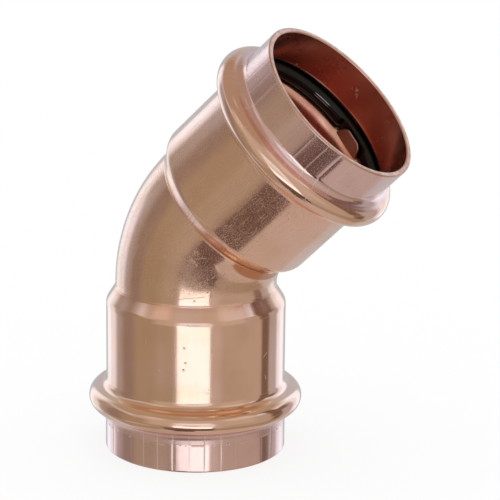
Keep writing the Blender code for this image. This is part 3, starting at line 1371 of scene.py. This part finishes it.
    def material(self) -> bpy.types.Material:
        """Makes the finish.

        Returns:
            The material, which reads its place from the mesh.
        """
        made, tree = blank_material(self.name)
        at = TubePlace.read(tree)
        clouds = self.lumps(tree, at.tube, self.cloud_mm, 3.0)
        small_clouds = self.lumps(tree, at.tube, self.small_cloud_mm, 2.0)
        waves = self.lumps(tree, at.tube, self.wave_mm)
        lines = self.lumps(tree, at.tube, self.draw_line_mm, 3.0)
        grains = self.grains(tree, at)
        scratches = self.scratches(tree, at)
        rough: list[Layer | Value] = [
            Layer(clouds, 0.35, 0.7, self.cloud_roughness),
            Layer(small_clouds, 0.45, 0.75, self.cloud_roughness * 0.6),
            grains,
            Layer(scratches, top=self.scratch),
            Layer(lines, 0.45, 0.7, self.draw_lines),
            self.roughness,
        ]
        heights = [
            Layer(waves, top=self.waviness_mm),
            Layer(lines, top=self.draw_line_depth_mm),
            Layer(grains, top=-self.grain_depth_mm),
            Layer(scratches, top=-self.scratch_depth_mm),
        ]
        if self.brushing:
            hair = self.lumps(tree, at.tube, self.brushing_mm, 2.0)
            rough.append(Layer(hair, 0.4, 0.7, self.brushing))
            heights.append(Layer(hair, top=-self.brushing_depth_mm))
        if self.scuffs:
            specks, dents = self.hurts(tree, at)
            rough += [Layer(specks, top=self.speck_roughness), Layer(dents, top=self.dent_roughness)]
            heights += [Layer(specks, top=-self.speck_depth_mm), Layer(dents, top=-self.dent_depth_mm)]
        if self.pits:
            pits = self.pitting(tree, at)
            rough.append(Layer(pits, top=self.pit_roughness))
            heights.append(Layer(pits, top=-self.pit_depth_mm))
        if self.turned:
            spot = add_node(tree, "TexCoord").outputs["Object"]
            rings = self.lumps(tree, spot, (self.turning_mm * MM,) * 3, 2.0)
            rough.append(Layer(rings, 0.4, 0.7, self.turned))
        if self.tool_lines:
            rougher, cuts = self.tooling(tree, at)
            rough += rougher
            heights += cuts
        bump = {"Height": layered(tree, *heights), "Distance": MM, "Strength": 1.0}
        values = {
            "Base Color": self.shaded(tree, at, clouds),
            "Metallic": 1.0,
            "Roughness": layered(tree, *rough),
            "Normal": add_node(tree, "Bump", {}, bump).outputs[0],
        }
        shader = add_node(tree, "BsdfPrincipled", {}, values)
        add_node(tree, "OutputMaterial", {}, {"Surface": shader.outputs[0]})
        return made


# The tumbled skin: a pink mirror under a thin bloom, with fine dust-like grains and a few hurts
SKIN_FINISH = CopperFinish(
    scuffs=(
        Scuff(Arm.UPPER, -75, 46.2, 1.9),
        Scuff(Arm.LOWER, -57, 20.8, 1.6),
        Scuff(Arm.LOWER, -58, 11.2, 1.3),
        Scuff(Arm.LOWER, -71, 31.6, 0.3, dent=True),
        Scuff(Arm.LOWER, -70.2, 27.9, 0.3, dent=True),
        Scuff(Arm.LOWER, -71.5, 26.1, 0.34, dent=True),
        Scuff(Arm.LOWER, -65, 43.1, 0.34, dent=True),
    ),
    streaks=(
        Streak(Arm.LOWER, (-77, 43.2), (-57, 45.0), 0.1),
        Streak(Arm.LOWER, (-97, 33.6), (-96.5, 31.2)),
        Streak(Arm.LOWER, (-88, 25.9), (-86, 25.2)),
        Streak(Arm.LOWER, (-16.5, 27.1), (-12.5, 28.2)),
        Streak(Arm.LOWER, (-14.5, 22.6), (-13, 21.2), 0.12),
        Streak(Arm.UPPER, (-77, 49.3), (-71, 48.8)),
        Streak(Arm.UPPER, (-76.5, 48.3), (-69, 50.2)),
        Streak(Arm.UPPER, (-73, 48.1), (-67, 45.6), 0.12),
        Streak(Arm.UPPER, (-57, 52.4), (-55, 50.8)),
    ),
)
# The lip after the forming tool: pinker, a little duller, its fine tool lines with painted highlights
LIP_FINISH = CopperFinish(
    name="drawn_copper_tooled_lip",
    colour="#F4D0D2",
    bloom_colour="#E2BDB8",
    grain_from_mm=-2.0,
    grain_to_mm=8.0,
    roughness=0.1,
    grain=0.25,
    scratch=0.1,
    scratch_depth_mm=0.001,
    brushing=0.03,
    brushing_depth_mm=0.002,
    tool_lines=True,
    pits=False,
)
# The rim as it was sawn and deburred: matt, with fine uneven marks
RIM_FINISH = CopperFinish(
    name="sawn_copper_deburred_rim",
    colour="#E7C0B3",
    bloom_colour="#C9A093",
    roughness=0.34,
    grain=0.2,
    turned=0.2,
    pits=False,
)
# The bore as it was drawn, then oxidised: a deeper red with a soft sheen and slow waves
BORE_FINISH = CopperFinish(
    name="drawn_copper_oxidised_bore",
    colour="#F7C3B4",
    bloom_colour="#DC8F80",
    bloom=0.7,
    roughness=0.2,
    cloud_roughness=0.07,
    pink=0.0,
    grain=0.0,
    scratch=0.0,
    scratch_depth_mm=0.0,
    draw_lines=0.0,
    draw_line_depth_mm=0.0006,
    waviness_mm=0.008,
    scuffs=(
        Scuff(Arm.UPPER, 97, 4.6, 1.7, bore=True),
        Scuff(Arm.UPPER, 93, 5.6, 1.1, bore=True),
    ),
)
# The tab's face as the press left it: matt and slightly grey
TAB_FINISH = CopperFinish(
    name="pressed_copper_tab",
    colour="#D8B7AE",
    bloom_colour="#B8938B",
    roughness=0.42,
    grain=0.1,
    pits=False,
)
# The tab's edges, drawn smooth by the press, with a paler colour as a painted highlight
TAB_EDGE_PAINTED_HIGHLIGHT = CopperFinish(
    name="pressed_copper_tab_edge_painted_highlight",
    colour="#F8DDD2",
    bloom_colour="#E6C2B6",
    roughness=0.3,
    grain=0.1,
    pits=False,
)


@dataclass(frozen=True)
class SealRubber:
    """Moulded EPDM rubber, wiped with silicone oil, with glints painted pale along the mould lines.

    To the eye it is black, with a soft sheen and two thin painted glints on a short arc.
    """

    name: str = "moulded_black_epdm_oiled"
    colour: str = "#080A09"
    # The painted glints' colour
    glint_colour: str = "#EDEDF0"
    roughness: float = 0.34
    most_roughness: float = 0.45
    cloud_mm: float = 3.0
    grit_mm: float = 0.3
    grit_depth_mm: float = 0.004
    oil: float = 0.25
    oil_roughness: float = 0.1

    def material(self) -> bpy.types.Material:
        """Makes the finish, whose grit is coarser than the mould's real one so that it shows.

        Returns:
            The material.
        """
        made, tree = blank_material(self.name)
        place = add_node(tree, "TexCoord").outputs["Object"]
        clouds = {"Vector": place, "Scale": 1 / (self.cloud_mm * MM), "Detail": 3.0}
        cloud = add_node(tree, "TexNoise", {}, clouds).outputs[0]
        grit = {"Vector": place, "Scale": 1 / (self.grit_mm * MM), "Detail": 1.0}
        height = add_node(tree, "TexNoise", {}, grit).outputs[0]
        rough = {0: cloud, 1: 0.35, 2: 0.7, 3: self.roughness, 4: self.most_roughness}
        # The painted glints: the mould lines made pale where the mesh says
        glint_share = add_node(tree, "Attribute", {"attribute_name": "painted_glint"}).outputs["Fac"]
        shades = {0: glint_share, 6: linear(self.colour), 7: linear(self.glint_colour)}
        bump = {"Height": height, "Distance": self.grit_depth_mm * MM, "Strength": 1.0}
        values = {
            "Base Color": add_node(tree, "Mix", {"data_type": "RGBA"}, shades).outputs[2],
            "Roughness": add_node(tree, "MapRange", {}, rough).outputs[0],
            "IOR": 1.45,
            "Specular IOR Level": 0.3,
            "Coat Weight": self.oil,
            "Coat Roughness": self.oil_roughness,
            "Normal": add_node(tree, "Bump", {}, bump).outputs[0],
        }
        shader = add_node(tree, "BsdfPrincipled", {}, values)
        add_node(tree, "OutputMaterial", {}, {"Surface": shader.outputs[0]})
        return made


@dataclass(frozen=True)
class Camera:
    """The camera that took the photograph's view, found from the fitting's outline."""

    azimuth: float = 24.7551
    elevation: float = 15.291
    roll: float = 0.7184
    distance: float = 570.427
    focal_pixels: float = 2342.3142
    aim: tuple[float, float, float] = (12.0, 0.0, 58.0)
    shift_right: float = 2.3305
    shift_up: float = -6.183
    picture_pixels: int = 500
    sensor_mm: float = 36.0

    def axes(self) -> tuple[Vector, Vector, Vector]:
        """How the camera is held.

        Returns:
            Its right, up and backward directions.
        """
        a, e, roll = (math.radians(v) for v in (self.azimuth, self.elevation, self.roll))
        back = Vector((math.sin(a) * math.cos(e), -math.cos(a) * math.cos(e), math.sin(e)))
        right = Vector((math.cos(a), math.sin(a), 0))
        up = back.cross(right)
        rolled_right = right * math.cos(roll) + up * math.sin(roll)
        rolled_up = up * math.cos(roll) - right * math.sin(roll)
        return rolled_right, rolled_up, back

    def build(self, axis_x: float) -> bpy.types.Object:
        """Adds the camera and makes it the scene's.

        Args:
            axis_x: where the lower socket's axis stands, in millimetres.

        Returns:
            The camera.
        """
        a = math.radians(self.azimuth)
        right, up, back = self.axes()
        level = Vector((math.cos(a), math.sin(a), 0))
        target = Vector(self.aim) + Vector((axis_x, 0, 0))
        target += level * self.shift_right + back.cross(level) * self.shift_up
        data = bpy.data.cameras.new("camera")
        data.sensor_width = self.sensor_mm
        data.lens = self.focal_pixels / self.picture_pixels * self.sensor_mm
        data.clip_start = 0.05
        data.clip_end = 20
        camera = bpy.data.objects.new("camera", data)
        bpy.context.scene.collection.objects.link(camera)
        turn = Matrix((right, up, back)).transposed()
        camera.matrix_world = Matrix.Translation((target + back * self.distance) * MM) @ turn.to_4x4()
        bpy.context.scene.camera = camera
        return camera


@dataclass(frozen=True)
class Card:
    """One soft-edged area of the studio round the fitting, as the copper mirrors it.

    Azimuths are degrees from the camera's side towards its right, elevations degrees above level.
    The slope tilts the upper and lower edges, in degrees for each degree to the right.
    """

    name: str
    left: float
    right: float
    low: float
    high: float
    colour: str
    soft: float
    soft_up: float
    strength: float = 1.0
    slope: float = 0.0


STUDIO_CARDS = (
    Card("white backdrop behind the fitting", -180, 180, -90, 90, "#EDF7FD", 1, 1, strength=1.1),
    Card("bright edge of the backdrop", 139, 221, -90, 90, "#E8F9FF", 2.5, 1, strength=1.3),
    Card("grey middle of the backdrop", 154.5, 205.5, -90, 90, "#C2CBCF", 4, 3),
    Card("ceiling", -180, 180, 35, 90, "#AF9D86", 1, 9),
    Card("brown card on the left", -112, -35, -27, 30, "#A5997F", 15, 6),
    Card("grey side of the brown card", -121.5, -101, -30, 30, "#AEABA5", 6, 6),
    Card("upper grey side of it", -130.5, -101, 6, 34, "#AEABA5", 6, 6),
    Card("darkest of the brown card", -107, -84, -30, 30, "#94887A", 8, 8),
    Card("pale ceiling in front", -76, 78, 24, 52, "#C5BCAB", 5, 5),
    Card("lit ceiling on the left", -64, -40, 36, 53, "#DACDBE", 6, 5),
    Card("lit ceiling on the right", 38, 76, 20, 52, "#D8D2C6", 6, 6),
    Card("tan card on the left", -52, -20, -12, 28, "#C4BBA8", 8, 4),
    Card("low tan card on the left", -50, -20, -34, -11, "#ADA38F", 10, 4),
    Card("tan card on the right", 20, 97, -32, 28, "#B7AD9B", 1.5, 3),
    Card("paler top of it", 22, 66, -9, 28, "#C6BDAD", 5, 5),
    Card("paler edge of it", 20, 34, -30, 28, "#C1B9AC", 5, 5),
    Card("grey card on the right", 106, 129, -40, 27, "#B4B4AF", 4, 5),
    Card("dark card on the right", 89.5, 107, -12, 42, "#7A6658", 3, 3),
    Card("foot of the dark card", 95, 109.5, -34, -11, "#7A6658", 2.5, 4),
    Card("top of the dark card", 100, 121, 9, 27, "#836F64", 4, 4),
    Card("table behind", 118, 242, -60, -26, "#C5CAC8", 8, 5),
    Card("table on the left", -112, -34, -56, -28, "#A79A86", 12, 5),
    Card("table on the right", 20, 122, -58, -30, "#A59984", 6, 3),
    Card("shade under the soft box", -35, 21, -40, -22, "#85776D", 4, 4),
    Card("soft box, upper part", -20, 22, -12, 15, "#F0F3F0", 2, 4),
    Card("dim middle of it", -11, 6, -5, 6, "#D5D6CE", 3, 3),
    Card("soft box, lower part", -22.5, 19.5, -25, -9, "#EEF6F1", 1.2, 1.3, strength=1.62, slope=-0.2),
    Card("dark card in front", -37, 24, -50.5, -32, "#6D5A51", 3, 1.5),
    Card("darkest on the right of it", 6, 23, -47, -34, "#4E3C34", 3, 2),
    Card("darkest on the left of it", -19, -6, -48, -38, "#5C4A42", 4, 3),
    Card("table in front", -180, -30, -90, -55, "#BCB2A5", 3, 4),
    Card("table under the camera", -33, 180, -90, -51.5, "#C2B9AC", 3, 1.5),
    Card("foot of the dark card in front", -30, 1, -60.5, -45, "#6C5950", 2, 1.5),
)


@dataclass
class Studio:
    """A white floor and background under plain soft light, with the cards that copper mirrors."""

    camera_azimuth: float
    floor_size: float = 3.0
    shadow_lift: float = 0.82
    cards: tuple[Card, ...] = STUDIO_CARDS

    def build_floor(self) -> bpy.types.Object:
        """Adds the floor that the fitting stands on, which keeps its shadow and isn't mirrored.

        Returns:
            The floor.
        """
        mesh = bpy.data.meshes.new("studio_floor")
        half = self.floor_size / 2
        corners = [(-half, -half, 0), (half, -half, 0), (half, half, 0), (-half, half, 0)]
        mesh.from_pydata(corners, [], [(0, 1, 2, 3)])
        floor = bpy.data.objects.new("studio_floor", mesh)
        bpy.context.scene.collection.objects.link(floor)
        floor.visible_glossy = False
        made, tree = blank_material("white_studio_floor")
        shaded = add_node(tree, "BsdfDiffuse", {}, {"Color": (1, 1, 1, 1)})
        white = add_node(tree, "Emission", {}, {"Color": (1, 1, 1, 1), "Strength": 1.0})
        seen = add_node(tree, "LightPath").outputs["Is Camera Ray"]
        share = add_node(tree, "Math", {"operation": "MULTIPLY"}, {0: seen, 1: self.shadow_lift}).outputs[0]
        both = add_node(tree, "MixShader", {}, {0: share, 1: shaded.outputs[0], 2: white.outputs[0]})
        add_node(tree, "OutputMaterial", {}, {"Surface": both.outputs[0]})
        mesh.materials.append(made)
        return floor

    def band(self, tree: bpy.types.NodeTree, angle: Socket, start: float, end: float, soft: float) -> Socket:
        """How far a direction lies inside a band of angles, from 0 to 1.

        Args:
            tree: the world's nodes.
            angle: the socket with the angle in radians.
            start: where the band begins, in degrees.
            end: where it ends, in degrees.
            soft: half the width of its soft edge, in degrees.

        Returns:
            The output socket.
        """
        half = (end - start) / 2
        middle = math.radians((start + end) / 2)
        turned = add_node(tree, "Math", {"operation": "SUBTRACT"}, {0: angle, 1: middle})
        near = add_node(tree, "Math", {"operation": "WRAP"}, {0: turned.outputs[0], 1: math.pi, 2: -math.pi})
        off = add_node(tree, "Math", {"operation": "ABSOLUTE"}, {0: near.outputs[0]}).outputs[0]
        edge = {0: off, 1: math.radians(half - soft), 2: math.radians(half + soft), 3: 1.0, 4: 0.0}
        return add_node(tree, "MapRange", {"interpolation_type": "SMOOTHSTEP"}, edge).outputs[0]

    def surround(self, tree: bpy.types.NodeTree) -> Value:
        """Lays the cards one over another round the fitting.

        Args:
            tree: the world's nodes.

        Returns:
            The output socket with the colour that the copper mirrors from each direction.
        """
        towards = add_node(tree, "TexCoord").outputs["Generated"]
        east, north, up = add_node(tree, "SeparateXYZ", {}, {0: towards}).outputs
        compass = add_node(tree, "Math", {"operation": "ARCTAN2"}, {0: north, 1: east}).outputs[0]
        facing = math.radians(self.camera_azimuth - 90)
        azimuth = add_node(tree, "Math", {"operation": "SUBTRACT"}, {0: compass, 1: facing}).outputs[0]
        elevation = add_node(tree, "Math", {"operation": "ARCSINE"}, {0: up}).outputs[0]
        colour: Value = (1.0, 1.0, 1.0, 1.0)
        for card in self.cards:
            height = elevation
            if card.slope:
                tilt = {0: azimuth, 1: -card.slope, 2: elevation}
                height = add_node(tree, "Math", {"operation": "MULTIPLY_ADD"}, tilt).outputs[0]
            inside = self.band(tree, height, card.low, card.high, card.soft_up)
            if card.right - card.left < 360:
                level = self.band(tree, azimuth, card.left, card.right, card.soft)
                inside = add_node(tree, "Math", {"operation": "MULTIPLY"}, {0: inside, 1: level}).outputs[0]
            painted = (*(part * card.strength for part in linear(card.colour)[:3]), 1.0)
            over = {0: inside, 6: colour, 7: painted}
            colour = add_node(tree, "Mix", {"data_type": "RGBA", "label": card.name}, over).outputs[2]
        return colour

    def build(self) -> None:
        """Adds the floor and the light."""
        self.build_floor()
        world = bpy.data.worlds.new("studio")
        bpy.context.scene.world = world
        world.cycles.sampling_method = "NONE"
        world.use_nodes = True
        tree = world.node_tree
        tree.nodes.clear()
        light = add_node(tree, "Background", {}, {"Color": (1, 1, 1, 1), "Strength": 1.0})
        cards = add_node(tree, "Background", {}, {"Color": self.surround(tree), "Strength": 1.0})
        path = add_node(tree, "LightPath").outputs
        rays = {0: path["Is Glossy Ray"], 1: path["Is Transmission Ray"]}
        mirrored = add_node(tree, "Math", {"operation": "MAXIMUM"}, rays).outputs[0]
        both = add_node(tree, "MixShader", {}, {0: mirrored, 1: light.outputs[0], 2: cards.outputs[0]})
        add_node(tree, "OutputWorld", {}, {"Surface": both.outputs[0]})


def main() -> None:
    """Builds the scene and reports each piece."""
    logging.basicConfig(level=logging.INFO, format="%(message)s")
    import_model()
    sizes = ElbowSizes()
    low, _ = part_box("elbow_body")
    axis_x = low[0] / MM + sizes.crown_centre + sizes.bead_crown
    LOG.info("lower socket's axis at x %.3f mm", axis_x)
    rubber = SealRubber().material()
    bore = BORE_FINISH.material()
    tab_finishes = [TAB_FINISH.material(), TAB_EDGE_PAINTED_HIGHLIGHT.material()]
    elbow = CopperElbow(sizes, axis_x).build()
    for finish in (SKIN_FINISH.material(), LIP_FINISH.material(), RIM_FINISH.material(), bore):
        elbow.data.materials.append(finish)
    LOG.info("%s: %d faces", elbow.name, len(elbow.data.polygons))
    for arm in Arm:
        ring = SealRing(sizes, axis_x, arm).build()
        ring.data.materials.append(rubber)
        tab = LeakTab(sizes, axis_x, arm).build()
        for finish in tab_finishes:
            tab.data.materials.append(finish)
        LOG.info("%s, %s", ring.name, tab.name)
    camera = Camera()
    camera.build(axis_x)
    Studio(camera.azimuth).build()
    bpy.context.scene.view_settings.view_transform = "Standard"


if __name__ == "__main__":
    main()
